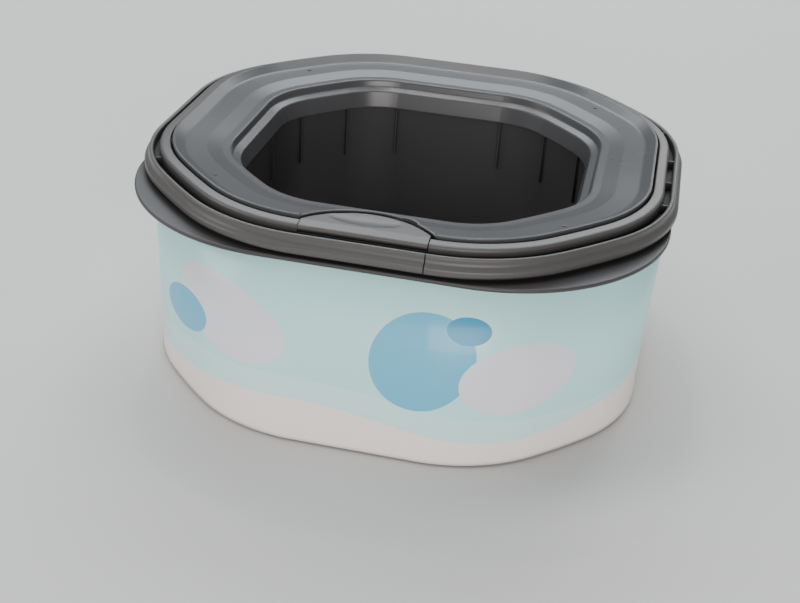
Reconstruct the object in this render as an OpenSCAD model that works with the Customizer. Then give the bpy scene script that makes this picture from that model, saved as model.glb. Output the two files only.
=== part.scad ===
// Refill cassette of a nappy bin: an eight-sided ring of a tub that holds pleated film,
// closed by a ring-shaped cover, a tear-off ring and its pull tab. Millimetres, +Z up,
// the origin at the middle of the base, the front (with the pull tab) towards -Y.
//
// Every outline is the cover's crest moved in or out by an offset u, so one set of arcs and
// straights serves them all. A section is drawn as points [u, z] and swept round.

/* [Outline] */
// Length over the cover's crest, left to right
crest_l = 192; // [176:1:232]
// Width over the cover's crest, front to back
crest_w = 187; // [176:1:226]
// Leg of the four cut corners
corner_leg = 48; // [42:1:56]
// Radius of each of the eight rounded corners
corner_r = 58; // [52:1:62]

/* [Tub] */
// Height from the base to the cover's crest
cassette_h = 93; // [78:1:112]
// How far the top of the outer wall stands outside the crest
wall_u = 7.5; // [6.8:0.1:9]
// Thickness of the outer wall behind the label
wall_t = 1.4; // [1:0.1:2]
// Draft of the outer wall in degrees
wall_draft = 1.7; // [0.5:0.1:3]
// Thickness of the floor
floor_t = 1.8; // [1.2:0.1:3]
// Radius of the base's outer edge
base_r = 1.6; // [0.5:0.1:2.5]
// Height of the neck above the flange
neck_h = 3.2; // [2.4:0.1:4]
// Thickness of the neck
neck_t = 1.5; // [1.2:0.1:1.8]

/* [Flange] */
// How far the flange stands outside the crest on the two ends
flange_end = 9; // [8.8:0.1:12]
// How far it stands outside the crest on the front and back
flange_side = 10.4; // [8.8:0.1:12]
// Radius of the flange's four corners
flange_r = 68; // [60:1:74]
// Thickness of the flange
flange_t = 1.6; // [1.2:0.1:2.4]
// Drop from the crest to the underside of the flange
flange_drop = 13.4; // [13:0.1:16]

/* [Core] */
// Thickness of the core tube
core_t = 1.5; // [1:0.1:2.5]
// Draft of the core tube in degrees
core_draft = 0.8; // [0.3:0.1:1.5]
// Drop from the crest to the top of the core tube
core_drop = 12.4; // [12:0.1:14]
// Length of the upright ribs inside the core tube
core_rib_l = 23; // [10:1:50]
// Thickness of those ribs
core_rib_t = 0.8; // [0.6:0.1:1.5]
// How far they stand out of the wall
core_rib_h = 1.2; // [0.6:0.1:2]
// Spacing of those ribs round the wall
core_rib_pitch = 24; // [16:1:40]

/* [Label] */
// Thickness of the wrap-round label
label_t = 0.22; // [0.1:0.02:0.3]
// Depth of the panel that the label lies in
label_recess = 0.4; // [0.35:0.05:0.6]
// Height of the bare band above and below the label
label_edge = 1.2; // [0.8:0.1:3]
// Width of the gap where the label's two ends meet
label_joint = 0.5; // [0.2:0.1:1.5]

/* [Cover] */
// Thickness of the cover
cover_t = 1.3; // [1:0.1:1.6]
// Width of the flat crest
crest_t = 1; // [0.8:0.1:1.4]
// Depth of the panel below the crest
panel_drop = 3; // [2.2:0.1:3.6]
// Drop from the crest to the funnel's lip
lip_drop = 16.4; // [15.5:0.1:18]
// How far the funnel's lip lies inside the crest
lip_u = 29; // [28.6:0.1:31]
// Depth of the cover's outer skirt
skirt_drop = 6.4; // [5:0.1:6.6]
// Radius of the four moulding pips on the panel
pip_r = 0.9; // [0.5:0.1:1.5]

/* [Tear-off ring] */
// Gap between the cover's crest and the ring
seam_gap = 0.7; // [0.4:0.1:1]
// How far the lower bead stands outside the crest
bead_u = 10.6; // [10.4:0.1:12]
// Drop from the crest to the bottom of the ring's skirt
ring_drop = 10.6; // [10.2:0.1:10.8]
// Radius of the lower bead
lower_bead_r = 1.1; // [0.8:0.05:1.3]
// Radius of the upper bead
upper_bead_r = 0.95; // [0.7:0.05:1.1]
// Thickness of the cross ribs in the slot
cross_rib_t = 0.6; // [0.4:0.1:1]
// Spacing of the cross ribs in the slot's right end
cross_rib_pitch = 22.7; // [16:0.1:26]
// Width of the split that the ring tears open at
split_w = 0.35; // [0.2:0.05:0.8]

/* [Pull tab] */
// How far the pull tab bulges in over the cover
tab_bulge = 11.6; // [8:0.1:14]
// Thickness of the pull tab
tab_t = 2; // [1.6:0.1:2.4]
// Depth of the thumb dish in the pull tab
dish_d = 0.95; // [0.4:0.05:1.1]
// Width of the finger gap behind the pull tab, at its widest
notch_gap = 2; // [1.2:0.1:2.6]

/* [Film] */
// Number of pleats in the packed film
pleats = 12; // [8:1:16]
// Depth of each pleat
pleat_d = 1.2; // [0.6:0.1:2]
// Free height left above the packed film
film_room = 20; // [18.5:0.5:40]
// Thickness of the loose film collar
collar_t = 0.4; // [0.3:0.1:0.6]

/* [Fits] */
// Gap between parts that lift apart
lift_gap = 0.35; // [0.25:0.05:0.5]
// Gap between the packed film and the walls
film_gap = 0.6; // [0.4:0.1:1.5]
// Gap of the glue line behind the label
glue_gap = 0.03; // [0.02:0.01:0.05]

/* [Hidden] */
$fn = 96;

half_l = crest_l / 2;
half_w = crest_w / 2;
crest_z = cassette_h;

// Each cut corner turns through two corners of corner_r and a slight bow between them, whose
// centre lies bow_r further back; corner_d is how far the two corners stand apart each way
bow = 6;
corner_turn = (90 - bow) / 2;
bow_r = thousandths((corner_leg + corner_r * (tan(22.5) - 1)) / (cos(corner_turn) - sin(corner_turn)));
corner_d = bow_r * (cos(corner_turn) - sin(corner_turn));
front_l = thousandths(crest_l - 2 * (corner_r + corner_d));
end_l = thousandths(crest_w - 2 * (corner_r + corner_d));
side_x = front_l / 2;
end_y = end_l / 2;
crest_path = outline([[[side_x + corner_d, end_y], corner_r, 0, corner_turn],
                      [[side_x + corner_d, end_y] - bow_r * dir(corner_turn), corner_r + bow_r, corner_turn, bow],
                      [[side_x, end_y + corner_d], corner_r, 90 - corner_turn, corner_turn]], front_l, end_l);

// Tub
flange_path = outline([[[crest_l / 2 + flange_end - flange_r, crest_w / 2 + flange_side - flange_r], flange_r, 0, 90]],
                      crest_l + 2 * (flange_end - flange_r), crest_w + 2 * (flange_side - flange_r));
flange_z = crest_z - flange_drop;
flange_top = flange_z + flange_t;
neck_z = flange_top + neck_h;
core_z = crest_z - core_drop;
flange_band = 20;
inner_r = 3;

// The cover's outer face, and the underside of its funnel from the ledge to the lip
cover_u = -0.5;
ledge_in = [-27.3, panel_drop + 6.2];
under_ledge = ledge_in + [cover_t, cover_t];
under_lip = [-lip_u + cover_t - 0.2, lip_drop];
core_u = -under_ledge.x - lift_gap - (under_lip.x - under_ledge.x) * (core_drop - under_ledge.y) / (under_lip.y - under_ledge.y);

// Ring and slot, as offsets u and as drops below the crest
seam_u = cover_u + seam_gap;
shoulder_drop = 1.1;
inner_bead = [3.1, 3];
inner_bead_r = 1.3;
slot_w = 2.5;
upper_bead_drop = 3.4;
leg_t = 1.2;
leg_u = inner_bead.x + inner_bead_r - leg_t;
web_drop = 7.2;
web_t = crest_z - web_drop - lift_gap - neck_z;
leg_drop = 9.4;
skirt_u = wall_u + lift_gap;

// Pull tab and its notch: arcs over the straight front of the ring
tab_half = side_x;
tab_gap = 0.08;
tab_r = (tab_half * tab_half + tab_bulge * tab_bulge) / (2 * tab_bulge);
tab_y = -half_w + tab_bulge - tab_r;
tab_axis = [-half_w - inner_bead.x, crest_z - inner_bead.y];
split_x = tab_half - 1.3;

// The notch is the tab's own arc moved out by the seam, and a smaller arc, finger away from the
// tab's, that opens it up for a fingertip: [centre x, centre y, radius] each
finger = [11.6, 24.5];
notch_arcs = [[0, tab_y, tab_r + seam_gap],
              [finger.x, tab_y + finger.y, tab_r - norm(finger) + notch_gap]];

function dir(a) = [cos(a), sin(a)];
function thousandths(x) = round(x * 1000) / 1000;

// An outline, from the right side round, as arcs [centre, radius, first angle, turn] and straights
// [centre of the arc before, its radius, angle it faces, 0, length], from the arcs of one quarter
function outline(quarter, front, end) =
    let (n = len(quarter) - 1, back = [for (i = [n : -1 : 0]) quarter[i]])
    [for (h = [0, 180]) each [
        for (q = quarter) [h == 0 ? q[0] : -q[0], q[1], q[2] + h, q[3]],
        [h == 0 ? quarter[n][0] : -quarter[n][0], quarter[n][1], 90 + h, 0, front],
        for (q = back) [h == 0 ? [-q[0].x, q[0].y] : [q[0].x, -q[0].y], q[1], 180 - q[2] - q[3] + h, q[3]],
        [h == 0 ? [-back[n][0].x, back[n][0].y] : [back[n][0].x, -back[n][0].y], back[n][1], 180 + h, 0, end]]];

// Place on the crest's outline at offset u, a distance s on from its start: [x, y, heading out]
function along(s, u, i = 0) =
    let (q = crest_path[i % len(crest_path)], r = q[1] + u, l = q[3] == 0 ? q[4] : r * q[3] * PI / 180)
    s >= l ? along(s - l, u, i + 1) :
    let (a = q[2] + q[3] * s / l, p = q[0] + r * dir(a) + (q[3] == 0 ? s : 0) * dir(a + 90))
    [p.x, p.y, a];

// Distance round the crest's outline at offset u, and from its start to the middle of the back
function perimeter(u) = 2 * (front_l + end_l) + 2 * PI * (corner_r + u) + 4 * bow_r * bow * PI / 180;
function to_back(u) = (corner_r + u) * PI / 2 + bow_r * bow * PI / 180 + side_x;

// Replaces each corner [u, z, r] of a section by an arc of radius r, limited by its sides
function steps_for(r) = r < 0.5 ? 2 : r < 1 ? 3 : 4;
function rounded(points) = [
    for (i = [0 : len(points) - 1])
        let (n = len(points), q = points[i], p = [q.x, q.y],
             to_last = [for (k = [0, 1]) points[(i + n - 1) % n][k] - p[k]],
             to_next = [for (k = [0, 1]) points[(i + 1) % n][k] - p[k]],
             d0 = to_last / norm(to_last), d1 = to_next / norm(to_next),
             half = acos(max(-1, min(1, d0 * d1))) / 2,
             reach = q[2] == 0 ? 0 : min(q[2] / tan(half), 0.48 * norm(to_last), 0.48 * norm(to_next)),
             r = reach * tan(half), c = reach == 0 ? p : p + (d0 + d1) / norm(d0 + d1) * r / sin(half),
             v0 = p + d0 * reach - c, v1 = p + d1 * reach - c,
             a0 = atan2(v0.y, v0.x), sweep = (atan2(v1.y, v1.x) - a0 + 540) % 360 - 180)
        for (k = [0 : reach == 0 ? 0 : steps_for(q[2])])
            reach == 0 ? p : c + r * dir(a0 + sweep * k / steps_for(q[2]))];

// The outer wall's face, the trough's face behind it, and the core tube's two faces at height z
function wall_face(z) = wall_u - (flange_z - z) * tan(wall_draft);
function panel_face(z) = wall_face(z) - label_recess;
function trough_face(z) = panel_face(z) - wall_t;
function bore_face(z) = -core_u + (core_z - z) * tan(core_draft);
function core_face(z) = -core_u + core_t + (core_z - z) * tan(core_draft);

// Sweeps a section [u, z] round an outline
module swept(path) {
    for (q = path)
        at(q[0])
            if (q[3] > 0)
                rotate_extrude(angle = q[3], start = q[2]) translate([q[1], 0]) children();
            else
                rotate(q[2]) translate([0, q[4]]) rotate([90, 0, 0])
                    linear_extrude(q[4]) translate([q[1], 0]) children();
}

// Moves by whole thousandths and then by the small rest, so that neighbouring arcs meet flush
module at(p) {
    whole = [thousandths(p.x), thousandths(p.y)];
    translate(whole) translate(p - whole) children();
}

module round_crest() {
    swept(crest_path) children();
}

// Puts its children on the outline, with x pointing outwards
module placed(p) {
    translate([p.x, p.y]) rotate(p[2]) children();
}

module flange_plate() {
    difference() {
        swept(flange_path)
            polygon(rounded([[-flange_band, flange_z, 0], [0, flange_z, 0.5], [0, flange_top, 0.6],
                             [-flange_band, flange_top, 0]]));
        round_crest()
            translate([-core_u, flange_z - 1]) square([core_u + wall_u - neck_t / 2, flange_t + 2]);
    }
}

// Outer wall, floor and core tube in one section
module tub_section() {
    low = label_edge;
    high = flange_z - label_edge;
    polygon(rounded([
        [bore_face(0), 0, 0.8],
        [wall_face(0), 0, base_r],
        [wall_face(low + base_r), low + base_r, 0],
        [panel_face(low + base_r), low + base_r, 0],
        [panel_face(high), high, 0],
        [wall_face(high), high, 0],
        [wall_u, flange_z, 0],
        [wall_u, neck_z, 0.5],
        [wall_u - neck_t, neck_z, 0.5],
        [wall_u - neck_t, flange_z, 0],
        [trough_face(floor_t), floor_t, inner_r],
        [core_face(floor_t), floor_t, inner_r],
        [core_face(core_z), core_z, 0.6],
        [bore_face(core_z), core_z, 0.6]]));
}

// Upright ribs in the back of the bore and on its left, just below the funnel's lip
module core_ribs() {
    way = perimeter(-core_u);
    count = round(way / core_rib_pitch);
    top = crest_z - lip_drop - lift_gap;
    for (k = [1 : count - 1]) {
        p = along((to_back(-core_u) + k * way / count) % way, -core_u);
        if (p.y > (p.x < 0 ? 0 : end_y))
            placed(p)
                translate([-core_rib_h, -core_rib_t / 2, top - core_rib_l])
                    cube([core_rib_h + core_t, core_rib_t, core_rib_l]);
    }
}

module tub() {
    color("dimgray") {
        round_crest() tub_section();
        flange_plate();
        core_ribs();
    }
}

module wrap_label() {
    low = label_edge + base_r + 0.2;
    high = flange_z - label_edge - 0.2;
    color("powderblue")
        difference() {
            round_crest()
                polygon([[panel_face(low) + glue_gap, low],
                         [panel_face(low) + glue_gap + label_t, low],
                         [panel_face(high) + glue_gap + label_t, high],
                         [panel_face(high) + glue_gap, high]]);
            translate([-label_joint / 2, half_w - 5, 0]) cube([label_joint, 20, crest_z]);
        }
}

// Pleats stacked in the trough: a ridge and a valley each, on both sides
module film_pack() {
    bottom = floor_t + 0.4;
    rise = (crest_z - film_room - bottom) / pleats;
    outer = [for (i = [0 : pleats - 1]) each [
        let (z = bottom + i * rise) [trough_face(z) - film_gap - (i == 0 ? inner_r : pleat_d), z],
        let (z = bottom + (i + 0.5) * rise) [trough_face(z) - film_gap, z]]];
    inner = [for (i = [pleats - 1 : -1 : 0]) each [
        let (z = bottom + (i + 0.5) * rise) [core_face(z) + film_gap, z],
        let (z = bottom + i * rise) [core_face(z) + film_gap + (i == 0 ? inner_r : pleat_d), z]]];
    top = crest_z - film_room;
    color("lightsteelblue")
        round_crest()
            polygon(concat(outer, [[trough_face(top) - film_gap - pleat_d, top],
                                   [core_face(top) + film_gap + pleat_d, top]], inner));
}

// The film's free end, which rises between the cover's skirt and the ring's inner leg
module film_collar() {
    mid = (leg_u + cover_u) / 2;
    top = crest_z - inner_bead.y - inner_bead_r - lift_gap;
    bottom = crest_z - film_room + 0.1;
    color("lightsteelblue")
        round_crest()
            polygon([[mid - collar_t / 2, bottom], [mid + collar_t / 2, bottom],
                     [mid + collar_t / 2, top], [mid - collar_t / 2, top]]);
}

// Crest, recessed panel with its shallow trough, ledge and funnel; the underside runs beside it
module cover_section() {
    c = crest_z;
    p = panel_drop;
    t = cover_t;
    polygon(rounded([
        [cover_u, c - skirt_drop, 0],
        [cover_u, c, 0.35],
        [cover_u - crest_t, c, 0.3],
        [-5.3, c - p + 0.25, 2.4],
        [-14, c - p - 0.4, 4],
        [-20, c - p - 1.75, 3],
        [-23.4, c - p - 1.9, 0.9],
        [-24.3, c - p - 4.9, 0.8],
        [ledge_in.x, c - ledge_in.y, 1],
        [-lip_u, c - lip_drop, 0.4],
        [under_lip.x, c - under_lip.y, 0],
        [under_ledge.x, c - under_ledge.y, 0],
        [-24.3 + t, c - p - 4.9 - t, 0],
        [-23.4 + t + 0.4, c - p - 1.9 - t, 0],
        [-20, c - p - 1.75 - t, 0],
        [-14, c - p - 0.4 - t, 0],
        [-5.3, c - p + 0.25 - t, 0],
        [cover_u - crest_t - 0.2, c - t - 0.6, 0],
        [cover_u - crest_t - 0.2, c - skirt_drop, 0]]));
}

// The cover's rim along one of the notch's arcs, bevelled under so that the gap looks deep
module notch_rim(q) {
    translate([q.x, q.y])
        rotate_extrude()
            polygon(rounded([[q[2], crest_z - 0.3, 0.25],
                             [q[2] + crest_t, crest_z - 0.3, 0.3],
                             [q[2] + crest_t + 2, crest_z - panel_drop, 0],
                             [q[2] + crest_t + 2, crest_z - panel_drop - cover_t, 0],
                             [q[2] + crest_t + 1.2, crest_z - panel_drop - cover_t, 0],
                             [q[2], crest_z - 0.9, 0.15]]));
}

module notch_cut(grow) {
    for (q = notch_arcs)
        translate([q.x, q.y, crest_z - 2 * lip_drop]) cylinder(r = q[2] + grow, h = 3 * lip_drop);
}

module pips() {
    m = crest_path[1][0] + (crest_path[1][1] - 8.4) * dir(45);
    for (x = [-m.x, m.x], y = [-m.y, m.y])
        translate([x, y, crest_z - panel_drop - 0.6]) cylinder(r = pip_r, h = 0.6 + 0.25);
}

module cover() {
    color("slategray") {
        difference() {
            round_crest() cover_section();
            notch_cut(crest_t / 2);
        }
        intersection() {
            difference() {
                for (q = notch_arcs) notch_rim(q);
                notch_cut(0);
            }
            round_crest() translate([-core_u, crest_z - 10]) square([core_u + cover_u, 11]);
        }
        pips();
    }
}

// Shoulder, slot, two beads and skirt of the ring
module ring_section() {
    c = crest_z;
    roll_u = inner_bead.x + inner_bead_r;
    slot_u = roll_u + slot_w;
    polygon(rounded([
        [seam_u, c - shoulder_drop, 0.6],
        [roll_u, c - inner_bead.y + inner_bead_r, inner_bead_r],
        [roll_u, c - web_drop, 0],
        [slot_u, c - web_drop, 0],
        [slot_u, c - upper_bead_drop, upper_bead_r],
        [slot_u + 2 * upper_bead_r, c - upper_bead_drop, upper_bead_r],
        [slot_u + 1.7, c - 6, 2],
        [bead_u, c - 7.7, lower_bead_r],
        [bead_u, c - ring_drop + 0.8, lower_bead_r],
        [bead_u - 1.1, c - ring_drop, 0],
        [skirt_u, c - ring_drop, 0],
        [skirt_u, c - web_drop - web_t, 0],
        [roll_u, c - web_drop - web_t, 0],
        [roll_u, c - leg_drop, 0],
        [leg_u, c - leg_drop, 0],
        [leg_u, c - inner_bead.y - 0.4, 0],
        [seam_u, c - shoulder_drop - 1.2, 0.4]]));
}

// Three ribs on the right end and one on the corner behind them, and one on the left; each is a
// distance on from where the right or the left end meets its corner
module cross_ribs() {
    u = inner_bead.x + inner_bead_r + slot_w / 2;
    for (s = [25.6, perimeter(u) / 2 + 33.6, for (k = [0 : 2]) perimeter(u) - 6.5 - k * cross_rib_pitch])
        placed(along(s, u))
            translate([-slot_w / 2 - 0.4, -cross_rib_t / 2, crest_z - web_drop - 0.3])
                cube([slot_w + 0.8, cross_rib_t, web_drop + 0.3 - upper_bead_drop - 0.5]);
}

// Where the pull tab takes the shoulder's place
module tab_place() {
    translate([-tab_half, -half_w - inner_bead.x - inner_bead_r - 0.2, crest_z - inner_bead.y - inner_bead_r - tab_gap])
        cube([tab_half + split_x, inner_bead.x + inner_bead_r + 30, 20]);
}

// Three thin bridges hold the split shut until it is torn
module split_bridges() {
    for (p = [[bead_u - lower_bead_r, ring_drop - 1.7], [inner_bead.x + inner_bead_r + slot_w + 0.7, 3.9],
              [leg_u + leg_t / 2, inner_bead.y + 2.4]])
        translate([split_x + split_w / 2, -half_w - p.x, crest_z - p.y])
            rotate([0, 90, 0]) cylinder(r = 0.4, h = 4 * split_w, center = true);
}

module tear_ring() {
    color("gray") {
        difference() {
            union() {
                round_crest() ring_section();
                cross_ribs();
            }
            tab_place();
            translate([split_x, -half_w - 20, crest_z - 20]) cube([split_w, 22, 30]);
        }
        split_bridges();
    }
}

// A leaf in plan: the straight front of the shoulder, and an arc that bulges in over the cover
module pull_tab() {
    left = -tab_half + tab_gap;
    length = split_x - left;
    top = crest_z - shoulder_drop;
    dish_half = 0.56 * tab_half;
    dish_w = 5;
    dish_r = dish_w * dish_w / (2 * dish_d);
    dish_R = dish_half * dish_half / (2 * dish_d);
    color("gray")
        difference() {
            union() {
                intersection() {
                    translate([0, tab_y, top - tab_t]) cylinder(r = tab_r, h = tab_t);
                    translate([left, tab_axis[0], top - 2 * tab_t]) cube([length, 40, 4 * tab_t]);
                }
                translate([left, tab_axis[0], tab_axis[1]]) rotate([90, 0, 90]) cylinder(r = inner_bead_r, h = length);
            }
            // The shoulder's fall towards the roll
            translate([left - 1, tab_axis[0], tab_axis[1] + inner_bead_r])
                rotate([atan2(inner_bead.y - inner_bead_r - shoulder_drop, inner_bead.x - seam_u), 0, 0])
                    cube([length + 2, 30, 5]);
            // Thumb dish
            translate([-2, tab_y + tab_r - 5.4, top + dish_R - dish_d])
                rotate([90, 0, 0]) rotate_extrude($fn = 480) translate([dish_R - dish_r, 0]) circle(r = dish_r);
        }
}

tub();
wrap_label();
film_pack();
film_collar();
cover();
tear_ring();
pull_tab();
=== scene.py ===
# %% [markdown]
# # A refill cassette for a nappy bin, finished in Blender
# The cassette is a ring-shaped tub of grey plastic that holds a long tube of thin film. A printed
# label is wrapped round it, a ring-shaped cover closes the top, and a tear-off ring with a pull
# tab locks the cover down until the first use. The rigid parts come from an exact model, so this
# script doesn't draw them again: it gives them their finish. What is soft is made here as a mesh.

# %% Load the exact model
import math

import bpy
import numpy as np
from mathutils import Matrix, Vector, noise


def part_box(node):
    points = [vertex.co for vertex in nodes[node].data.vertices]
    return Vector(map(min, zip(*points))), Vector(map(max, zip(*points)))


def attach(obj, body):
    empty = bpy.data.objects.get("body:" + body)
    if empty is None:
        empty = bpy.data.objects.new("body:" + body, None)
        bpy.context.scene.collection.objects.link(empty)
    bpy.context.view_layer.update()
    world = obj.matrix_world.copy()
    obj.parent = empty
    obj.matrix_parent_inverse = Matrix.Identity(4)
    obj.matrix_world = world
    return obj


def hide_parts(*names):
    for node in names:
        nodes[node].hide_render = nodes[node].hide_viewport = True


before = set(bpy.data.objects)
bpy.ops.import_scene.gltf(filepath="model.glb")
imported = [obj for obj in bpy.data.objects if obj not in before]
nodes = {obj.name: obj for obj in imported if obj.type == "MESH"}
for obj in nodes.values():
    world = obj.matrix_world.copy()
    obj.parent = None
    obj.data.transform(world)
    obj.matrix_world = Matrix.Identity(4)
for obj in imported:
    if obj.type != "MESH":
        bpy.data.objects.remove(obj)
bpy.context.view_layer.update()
print("nodes:", ", ".join(sorted(nodes)))

# %% [markdown]
# ## Sizes
# The frame is in metres. Lengths here are written in millimetres and multiplied by MM where they
# are used. Overall sizes are read from the model, so they are never written twice. The corners'
# radius, how far they cut along each side, and the turn of each bowed side are the model's own.

# %% Sizes that the soft pieces follow
MM = 0.001
COVER_INSET = 0.5
crest_low, crest_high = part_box("cover")
CREST_Z = crest_high.z / MM
CREST_L = (crest_high.x - crest_low.x) / MM + 2 * COVER_INSET
CREST_W = (crest_high.y - crest_low.y) / MM + 2 * COVER_INSET
CORNER_R = 58
CORNER_LEG = 48
BOW = math.radians(6)
print(f"crest {CREST_L:.1f} x {CREST_W:.1f} mm, {CREST_Z:.1f} mm above the floor")

# %% [markdown]
# ## The outline
# Every wall of the cassette runs round the same eight-sided outline, moved in or out. A list of
# evenly spaced places, each with its outward direction, is enough to sweep any section round it:
# a point at offset u from the outline is the place plus u times the direction. One quarter is
# worked out from its arcs, and the other three are that quarter mirrored.

# %% Places round the outline
ARC_STEPS = 40


def quarter():
    """Arcs (centre, radius, first angle, turn) of the right back quarter of the outline."""
    turn = (math.pi / 2 - BOW) / 2
    reach = (CORNER_LEG + CORNER_R * (math.tan(math.pi / 8) - 1)) / (math.cos(turn) - math.sin(turn))
    step = reach * (math.cos(turn) - math.sin(turn))
    x = CREST_L / 2 - CORNER_R - step
    y = CREST_W / 2 - CORNER_R - step
    first = np.array([x + step, y])
    middle = first - reach * np.array([math.cos(turn), math.sin(turn)])
    return [(first, CORNER_R, 0, turn),
            (middle, CORNER_R + reach, turn, BOW),
            (np.array([x, y + step]), CORNER_R, math.pi / 2 - turn, turn)]


def outline(count):
    """count places round the outline and their outward directions, and its length in mm."""
    fine = []
    for flip_x, flip_y in ((1, 1), (-1, 1), (-1, -1), (1, -1)):
        flip = np.array([flip_x, flip_y])
        run = []
        for centre, radius, first, turn in quarter():
            for a in np.linspace(first, first + turn, ARC_STEPS, endpoint=False):
                out = np.array([math.cos(a), math.sin(a)])
                run.append(np.concatenate([flip * (centre + radius * out), flip * out]))
        fine += run if flip_x * flip_y > 0 else run[::-1]
    fine = np.array(fine + fine[:1])
    along = np.concatenate([[0], np.cumsum(np.linalg.norm(np.diff(fine[:, :2], axis=0), axis=1))])
    at = np.linspace(0, along[-1], count, endpoint=False)
    places = np.column_stack([np.interp(at, along, fine[:, i]) for i in range(4)])
    out = places[:, 2:] / np.linalg.norm(places[:, 2:], axis=1)[:, None]
    return places[:, :2], out, along[-1]


print(f"the outline is {outline(64)[2]:.0f} mm long")

# %% [markdown]
# ## Sums with sockets
# Procedural finishes are mostly arithmetic on numbers that vary over a surface. Wrapping a socket
# in a small class lets that arithmetic be written as ordinary Python, and each operator adds the
# Math node that does it. Every other node is added by one method of the finish.

# %% Socket and finish
class Socket:
    """An output of a node, which adds Math nodes when it takes part in a sum."""

    def __init__(self, finish, source):
        self.finish = finish
        self.source = source

    def __add__(self, other):
        return self.finish.maths("ADD", self, other)

    def __sub__(self, other):
        return self.finish.maths("SUBTRACT", self, other)

    def __rsub__(self, other):
        return self.finish.maths("SUBTRACT", other, self)

    def __mul__(self, other):
        return self.finish.maths("MULTIPLY", self, other)

    __radd__ = __add__
    __rmul__ = __mul__

    def past(self, edge, width):
        """0 below edge and 1 above it, with a soft step of that width."""
        return self.finish.node("ShaderNodeMapRange", {"interpolation_type": "SMOOTHSTEP"},
                                {"Value": self, "From Min": edge - width / 2, "From Max": edge + width / 2})


class Finish:
    """A material, with one method that adds any node."""

    def __init__(self, name):
        self.material = bpy.data.materials.new(name)
        self.material.use_nodes = True
        self.tree = self.material.node_tree
        self.shader = self.tree.nodes["Principled BSDF"]

    def node(self, kind, settings=None, sockets=None, out=0):
        made = self.tree.nodes.new(kind)
        for name, value in (settings or {}).items():
            setattr(made, name, value)
        for name, value in (sockets or {}).items():
            self.plug(made.inputs[name], value)
        return Socket(self, made.outputs[out])

    def maths(self, operation, *values):
        return self.node("ShaderNodeMath", {"operation": operation}, dict(enumerate(values)))

    def plug(self, target, value):
        if isinstance(value, Socket):
            self.tree.links.new(value.source, target)
        else:
            target.default_value = value

    def set(self, name, value):
        self.plug(self.shader.inputs[name], value)

    def place(self):
        """The point on the surface, in metres in the model's own frame."""
        return self.node("ShaderNodeTexCoord", out="Object")

    def noise(self, scale, detail=2, stretch=(1, 1, 1)):
        """Soft noise from 0 to 1, with scale as blotches per metre."""
        vector = self.node("ShaderNodeVectorMath", {"operation": "MULTIPLY"}, {0: self.place(), 1: stretch})
        return self.node("ShaderNodeTexNoise", None, {"Vector": vector, "Scale": scale, "Detail": detail})

    def mix(self, share, first, second):
        """first where share is 0 and second where it is 1."""
        return self.node("ShaderNodeMix", {"data_type": "RGBA"}, {0: share, 6: first, 7: second}, out=2)

    def bump(self, height, depth, normal=None):
        """Surface normals of a relief: height from 0 to 1, and depth in metres."""
        sockets = {"Height": height, "Distance": depth, "Strength": 1}
        if normal is not None:
            sockets["Normal"] = normal
        return self.node("ShaderNodeBump", None, sockets)


def colour(red, green, blue):
    """A colour given as display values from 0 to 255, as the shader's linear values."""
    return (*[((v / 255 + 0.055) / 1.055) ** 2.4 for v in (red, green, blue)], 1)


def wear(node_names, finish):
    """Gives CAD nodes a finish."""
    for name in node_names:
        nodes[name].data.materials.clear()
        nodes[name].data.materials.append(finish.material)
    print(finish.material.name, "on", ", ".join(node_names))


# %% [markdown]
# ## Grey moulded plastic
# Tub, cover, ring and tab are polypropylene from steel moulds. Such a face is never quite flat or
# even: it has a very fine grain from the mould, a slow waviness where the walls cooled, duller
# patches where hands have rubbed it and a little dust. Each is one noise at its own scale. Ambient
# Occlusion finds slots, seams and other hollows: they stay duller, because no cloth reaches them,
# and their colour is darkened there as painted shade. A Bevel node rounds the edges for the light
# alone, because moulded edges are never knife sharp.

# %% Moulded plastic
PLASTIC_IOR = 1.49
WAVE_DEPTH = 0.05
GRAIN_DEPTH = 0.006
# How far, in mm, Ambient Occlusion looks for the hollows that get painted shade and more roughness.
SHADE_AND_WIPE_REACH = 7
DUST = colour(150, 150, 150)


def moulded(name, tone, roughness, edge):
    """Grey plastic with painted shade in its hollows, of that colour and roughness, whose edges look edge
    mm round.
    """
    plastic = Finish(name)
    clouds = plastic.noise(18, 3)
    rubbed = plastic.noise(11, 2).past(0.55, 0.3)
    dust = rubbed * plastic.noise(1500, 0).past(0.86, 0.03)
    reach = {"Distance": SHADE_AND_WIPE_REACH * MM}
    wiped_and_unshaded = plastic.node("ShaderNodeAmbientOcclusion", {"samples": 4}, reach, out=1).past(0.5, 0.6)
    # The colour is darkened in hollows, which is painted shade, and varies at random with the clouds.
    painted_shade_and_tone = (0.2 + 0.8 * wiped_and_unshaded) * (0.93 + 0.14 * clouds)
    grey = plastic.node("ShaderNodeVectorMath", {"operation": "SCALE"}, {0: tone[:3], "Scale": painted_shade_and_tone})
    plastic.set("Base Color", plastic.mix(0.08 * dust, grey, DUST))
    dulled = 0.03 * rubbed + 0.1 * dust + 0.5 * (1 - wiped_and_unshaded)
    plastic.set("Roughness", roughness + 0.06 * (clouds - 0.5) + dulled)
    plastic.set("IOR", PLASTIC_IOR)
    rounded = plastic.node("ShaderNodeBevel", {"samples": 4}, {"Radius": edge * MM})
    wavy = plastic.bump(plastic.noise(26, 1), WAVE_DEPTH * MM, rounded)
    plastic.set("Normal", plastic.bump(plastic.noise(2600, 2), GRAIN_DEPTH * MM, wavy))
    return plastic


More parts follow.
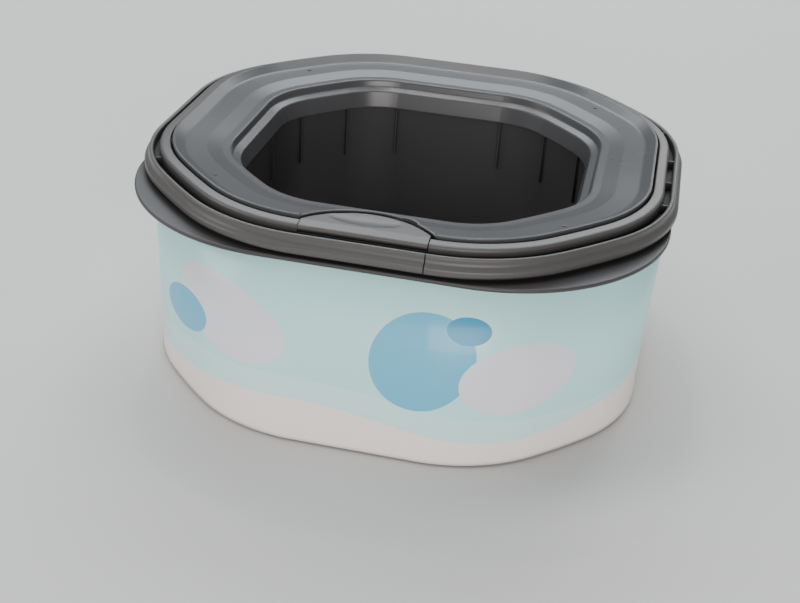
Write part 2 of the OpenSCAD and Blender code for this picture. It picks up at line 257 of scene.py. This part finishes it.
# All three are the same plastic. The tub's tone is set darker than the others as painted shade for its deep
# bore, which little light reaches.
wear(["tub"], moulded("tub_plastic", colour(61, 60, 61), 0.38, 0.4))
wear(["cover"], moulded("cover_plastic", colour(73, 74, 76), 0.28, 0.4))
wear(["tear_ring", "pull_tab"], moulded("ring_plastic", colour(81, 80, 79), 0.36, 0.5))

# %% [markdown]
# ## Sweeping a section round the outline
# Label and film both follow the outline, so one function makes their meshes. A bevelled curve would
# carry a section round too, but that section couldn't change on the way, as folds do. This function
# asks for a section at each place round the outline and joins each to the next. Wobble gives the
# sections noise that comes back to where it started, because it is read along a circle.

# %% Sweep and wobble
def swept(name, section, count, closed, body, seam=False):
    """A mesh whose ring at place i is section(i), a list of (u, z) in mm.

    With a seam, the sweep starts and ends at the middle of the back and isn't joined there."""
    places, out, _ = outline(count)
    if seam:
        back = -int(np.argmin(np.abs(places[:, 0]) - places[:, 1]))
        places, out = np.roll(places, back, axis=0), np.roll(out, back, axis=0)
    rings = [section(i) for i in range(count)]
    size = len(rings[0])
    points = [(*(MM * (places[i] + u * out[i])), MM * z) for i, ring in enumerate(rings) for u, z in ring]
    faces = []
    for i in range(count - 1 if seam else count):
        j = (i + 1) % count
        for k in range(size if closed else size - 1):
            n = (k + 1) % size
            faces.append((i * size + k, j * size + k, j * size + n, i * size + n))
    mesh = bpy.data.meshes.new(name)
    mesh.from_pydata(points, [], faces)
    mesh.polygons.foreach_set("use_smooth", [True] * len(faces))
    piece = bpy.data.objects.new(name, mesh)
    bpy.context.scene.collection.objects.link(piece)
    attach(piece, body)
    print(f"{name}: {len(points)} points")
    return piece


def wobble(i, count, k, size, seed):
    """Smooth noise that closes on itself after count steps of i, about -1 to 1."""
    a = 2 * math.pi * i / count
    return noise.noise(Vector((size * math.cos(a), size * math.sin(a), 0.37 * k + seed)))


# %% [markdown]
# ## The label
# The label is satin plastic film, printed in pale aqua with a warm white band along the bottom.
# Its design here is a plain one: hills along the lower edge, and groups of rounded pebbles. Shapes
# are measured in the model's own frame: a pebble is where the surface comes within a stretched
# ball, so it wraps round the corners by itself with no unwrapping.

# %% Label shapes
label_low, label_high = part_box("wrap_label")
label = Finish("label_print")
spot = label.place()
across, inward, up = (label.node("ShaderNodeSeparateXYZ", None, {0: spot}, out=i) for i in range(3))
print(f"label from {label_low.z / MM:.1f} to {label_high.z / MM:.1f} mm")


def hills(base, rise, waves, phase):
    """1 below a wavy line that goes round the label: base and rise in mm, and waves per turn."""
    around = label.maths("ARCTAN2", inward, across)
    line = base * MM + rise * MM * label.maths("SINE", waves * around + phase)
    return 1 - (up - line).past(0, 0.4 * MM)


def pebble(centre, size, tilt):
    """1 inside a ball that is stretched to size along X, Y and Z and tilted, all in mm and degrees."""
    moved = label.node("ShaderNodeMapping", {"vector_type": "TEXTURE"}, {
        "Vector": spot, "Location": Vector(centre) * MM, "Rotation": (0, math.radians(tilt), 0),
        "Scale": Vector(size) * MM})
    length = label.node("ShaderNodeVectorMath", {"operation": "LENGTH"}, {0: moved}, out="Value")
    return 1 - length.past(1, 0.02)


# %% Label print
AQUA = colour(196, 248, 248)
LIGHT_AQUA = colour(212, 251, 251)
WARM_WHITE = colour(255, 245, 240)
MIST = colour(234, 236, 246)
SKY = colour(104, 192, 226)
DEEP = colour(10, 152, 194)
PEBBLES = (((-52, -88, 47), (26, 40, 17), 14, MIST),
           ((-74, -76, 38), (13, 40, 9), -20, SKY),
           ((24, -96, 45), (19, 40, 22), 24, SKY),
           ((58, -86, 38), (21, 40, 15), -8, MIST),
           ((40, -92, 60), (8, 40, 6), 10, DEEP),
           ((88, 20, 46), (40, 24, 17), 0, MIST),
           ((40, 96, 45), (30, 40, 18), -12, SKY),
           ((-92, 10, 40), (40, 20, 14), 0, SKY))

print_colour = label.mix(hills(24, 5, 3, 0.8), AQUA, LIGHT_AQUA)
print_colour = label.mix(hills(15, 4.5, 4, 2.6), print_colour, WARM_WHITE)
for centre, size, tilt, ink in PEBBLES:
    print_colour = label.mix(pebble(centre, size, tilt), print_colour, ink)
label.set("Base Color", print_colour)
label.set("Coat Weight", 0.15)
label.set("Roughness", 0.30 + 0.08 * label.noise(60, 3))
label.set("Normal", label.bump(label.noise(30, 2), 0.12 * MM))
print(f"printed with {len(PEBBLES)} pebbles")

# %% [markdown]
# ## The label's sheet
# The exact model's label ends where the wall's foot starts to round. The real one goes on almost to
# the floor, so a sheet takes its place: its section starts low and a little proud of the foot, comes
# in to the wall, and goes straight up. It is thickened by Solidify, and its ends meet at the back.

# %% The sheet
WALL_SLOPE = math.tan(math.radians(1.7))
TOP_U = (label_high.x - label_low.x) / MM / 2 - CREST_L / 2
LABEL_TOP = label_high.z / MM
LABEL_PROUD = ((0.9, 0.42), (2.6, 0.42), (4.5, 0.4), (6.5, 0.25),
               (9, 0.05), (12, 0), (30, 0), (LABEL_TOP, 0))
LABEL_THICK = 0.22
LABEL_AROUND = 960


def label_section(_):
    """Heights from LABEL_PROUD, each that far out from the wall's own line."""
    return [(TOP_U - (LABEL_TOP - z) * WALL_SLOPE + proud, z) for z, proud in LABEL_PROUD]


wrap = swept("label_sheet", label_section, LABEL_AROUND, False, "cassette", seam=True)
sheet = wrap.modifiers.new("sheet thickness", "SOLIDIFY")
sheet.thickness = LABEL_THICK * MM
wrap.data.materials.append(label.material)
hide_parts("wrap_label")

# %% [markdown]
# ## Packed film
# The film is one long tube of thin plastic, pushed down into the trough in hundreds of folds. The
# sides show as pleats against the walls, and the top as a heap of crumpled ridges that run round
# the trough. Cloth simulation can't pack so many layers, so a swept grid makes it: its section is a
# closed loop of points, and noise along the outline shifts each point a little, so no two folds are
# alike. Where the trough's inner wall stands, and how far both walls lean, are the tub's own.

# %% Film sizes
pack_low, pack_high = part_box("film_pack")
collar_low, collar_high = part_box("film_collar")
PACK_BOTTOM = pack_low.z / MM
PACK_TOP = pack_high.z / MM
PACK_OUT = (pack_high.x - pack_low.x) / MM / 2 - CREST_L / 2
PACK_IN = -24.1
CORE_SLOPE = math.tan(math.radians(0.8))
HEAP = 2.5
PLEATS = 12
PLEAT_DEPTH = 1.2
RUCK_DEPTH = 0.5
RIDGES = 7
RIDGE_RISE = 1.1
RIDGE_SWAY = 0.7
CRUMPLE_RISE = 1.4
RIM_STEEPNESS = 6
TOP_STEPS = 36
AROUND = 480
print(f"packed film: {PACK_TOP - PACK_BOTTOM:.1f} mm high, up to {PACK_OUT - PACK_IN:.1f} mm wide")


# %% The pack
def pack_section(i):
    """Up the outer side in pleats, over the crumpled top, and down the inner side."""
    outer, inner = [], []
    steps = 4 * PLEATS
    for k in range(steps + 1):
        z = PACK_BOTTOM + (PACK_TOP - HEAP - PACK_BOTTOM) * k / steps
        fold = 0.5 - 0.5 * math.cos(2 * math.pi * PLEATS * k / steps)
        ruck = 0.5 + 0.5 * wobble(i, AROUND, k / 4, 14, 1)
        deep = PLEAT_DEPTH * (1 - fold) + RUCK_DEPTH * ruck
        outer.append((PACK_OUT - (PACK_TOP - z) * WALL_SLOPE - deep, z))
        inner.append((PACK_IN + (PACK_TOP - z) * CORE_SLOPE + deep, z))
    top = []
    left, right = outer[-1][0], inner[-1][0]
    for k in range(1, TOP_STEPS):
        t = k / TOP_STEPS
        rim = min(1, RIM_STEEPNESS * t, RIM_STEEPNESS * (1 - t))
        sway = RIDGE_SWAY * wobble(i, AROUND, 2 * t, 9, 5)
        ridge = 0.5 + 0.5 * math.cos(2 * math.pi * (RIDGES * t + sway))
        crumple = 0.5 + 0.5 * wobble(i, AROUND, 9 * t, 52, 9)
        rise = rim * (RIDGE_RISE * ridge + CRUMPLE_RISE * crumple)
        top.append((left + (right - left) * t, PACK_TOP - HEAP + rise))
    return outer + top + inner[::-1]


film_pack = swept("film_pack_folds", pack_section, AROUND, True, "cassette")
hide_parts("film_pack")

# %% [markdown]
# ## The film's free end
# The first turn of the film stands up loose from the pack, inside the tub's neck and under the ring.
# It is the same sweep with an open section of one line, in small gathers because the film is longer
# than the way round.

# %% The sleeve
SLEEVE_ROWS = 15
SLEEVE_GAP = 0.2
SLEEVE_THICK = 0.08


def collar_section(i):
    """One line upwards in small gathers, with an uneven upper end."""
    low, high = collar_low.z / MM, collar_high.z / MM
    middle = (collar_high.x - collar_low.x) / MM / 2 - CREST_L / 2 - SLEEVE_GAP
    line = []
    for k in range(SLEEVE_ROWS):
        t = k / (SLEEVE_ROWS - 1)
        gather = 0.8 * wobble(i, AROUND, 0.8 * t, 38, 3) + 0.4 * wobble(i, AROUND, 1.5 * t, 80, 7)
        line.append((middle + gather, low + (high - low) * t - 0.5 * t * (1 + wobble(i, AROUND, 0, 25, 2))))
    return line


collar = swept("film_collar_sleeve", collar_section, AROUND, False, "cassette")
thick = collar.modifiers.new("film thickness", "SOLIDIFY")
thick.thickness = SLEEVE_THICK * MM
thick.offset = 0
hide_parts("film_collar")

# %% [markdown]
# ## Film finish
# Thin film is glossy, lets a little light through and is creased all over. Voronoi cells give sharp
# creases with flat faces between them, and a finer noise, drawn out upwards, the small wrinkles.

# %% Film finish
CREASE_DEPTH = 0.45
WRINKLE_DEPTH = 0.2
film = Finish("thin_film")
film.set("Roughness", 0.24)
film.set("Base Color", film.mix(film.noise(70, 3), colour(204, 212, 220), colour(232, 235, 238)))
creases = film.node("ShaderNodeTexVoronoi", None, {"Vector": film.place(), "Scale": 190})
creased = film.bump(creases, CREASE_DEPTH * MM)
film.set("Normal", film.bump(film.noise(700, 4, (1, 1, 0.3)), WRINKLE_DEPTH * MM, creased))
film.set("Subsurface Weight", 0.15)
film.set("Subsurface Radius", (2 * MM, 2 * MM, 2 * MM))
for piece in (film_pack, collar):
    piece.data.materials.append(film.material)
    print("thin_film on", piece.name)

# %% [markdown]
# ## Camera
# The camera stands where the photographer did: above the table and close, so the front is seen
# larger than the back. Its focal length and place were worked out from how much the cover's
# outline shrinks towards the back, with the real sizes held fixed. SHIFT is the middle of the crest
# as the camera sees it: right, forward and up, in mm.

# %% Camera
FOCAL_PIXELS = 1294.8
PICTURE_WIDTH = 800
SENSOR = 36
PITCH, YAW, ROLL = (math.radians(a) for a in (28.987, -10.736, 3.875))
SHIFT = Vector((8.8, 531.52, 69.74))

turn = Matrix.Rotation(ROLL, 3, "Y") @ Matrix.Rotation(PITCH, 3, "X") @ Matrix.Rotation(YAW, 3, "Z")
right, forward, above = (Vector(turn[i]) for i in range(3))
where = (Vector((0, 0, CREST_Z)) - turn.transposed() @ SHIFT) * MM
camera = bpy.data.objects.new("camera", bpy.data.cameras.new("camera"))
camera.data.sensor_width = SENSOR
camera.data.lens = FOCAL_PIXELS / PICTURE_WIDTH * SENSOR
camera.matrix_world = Matrix((
    (right.x, above.x, -forward.x, where.x),
    (right.y, above.y, -forward.y, where.y),
    (right.z, above.z, -forward.z, where.z),
    (0, 0, 0, 1)))
bpy.context.scene.collection.objects.link(camera)
bpy.context.scene.camera = camera
print("camera at", [round(v, 3) for v in where])

# %% [markdown]
# ## Floor and light
# Dark glossy plastic is seen by what it mirrors, so each light is a broad soft sheet. A cool one
# high behind lights the faces that look up, a warm one in front the walls, and weaker ones the left
# side and the bore. A pale floor lifts the shadows.

# %% Floor
FLOOR_HALF = 6
floor_mesh = bpy.data.meshes.new("floor")
floor_mesh.from_pydata([(x, y, 0) for x, y in ((-1, -1), (1, -1), (1, 1), (-1, 1))], [], [(0, 1, 2, 3)])
floor_mesh.transform(Matrix.Scale(FLOOR_HALF, 4))
floor = bpy.data.objects.new("floor", floor_mesh)
bpy.context.scene.collection.objects.link(floor)
floor_finish = Finish("floor")
floor_finish.set("Roughness", 0.7)
floor_finish.set("Base Color", colour(214, 214, 212))
floor_mesh.materials.append(floor_finish.material)
print(f"floor {2 * FLOOR_HALF} m square")

# %% Lights
AIM = Vector((0, 0, 0.06))
WHITE = (1.0, 1.0, 1.0)
SOFT_WHITE = (1.0, 0.98, 0.96)
COOL = (0.88, 0.95, 1.0)
WARM = (1.0, 0.95, 0.92)
LIGHTS = (("overhead", (-0.1, 0.15, 1.4), (1.5, 0.4), 9, WHITE),
          ("sky_behind", (-0.3, 1.25, 1.35), (1.8, 0.8), 24, COOL),
          ("window_behind", (0.42, 1.6, 0.75), (0.55, 0.7), 3, SOFT_WHITE),
          ("window_left", (-1.5, -0.5, 0.8), (0.8, 0.8), 8, SOFT_WHITE),
          ("front_fill", (0.48, -1.7, 0.52), (1.3, 0.7), 23.5, WARM),
          ("glint", (-0.32, 0.75, 1.75), (0.14, 0.14), 2.5, WHITE))
WORLD_COLOUR = (0.80, 0.82, 0.85, 1)
WORLD_STRENGTH = 0.30

for name, place, size, watts, tint in LIGHTS:
    light = bpy.data.lights.new(name, "AREA")
    light.shape = "RECTANGLE"
    light.size, light.size_y = size
    light.energy = watts
    light.color = tint
    lamp = bpy.data.objects.new(name, light)
    lamp.location = place
    lamp.rotation_euler = (AIM - Vector(place)).to_track_quat("-Z", "Y").to_euler()
    bpy.context.scene.collection.objects.link(lamp)
    print(f"{name}: {watts} W")

world = bpy.data.worlds.new("studio")
world.use_nodes = True
world.node_tree.nodes["Background"].inputs["Color"].default_value = WORLD_COLOUR
world.node_tree.nodes["Background"].inputs["Strength"].default_value = WORLD_STRENGTH
bpy.context.scene.world = world
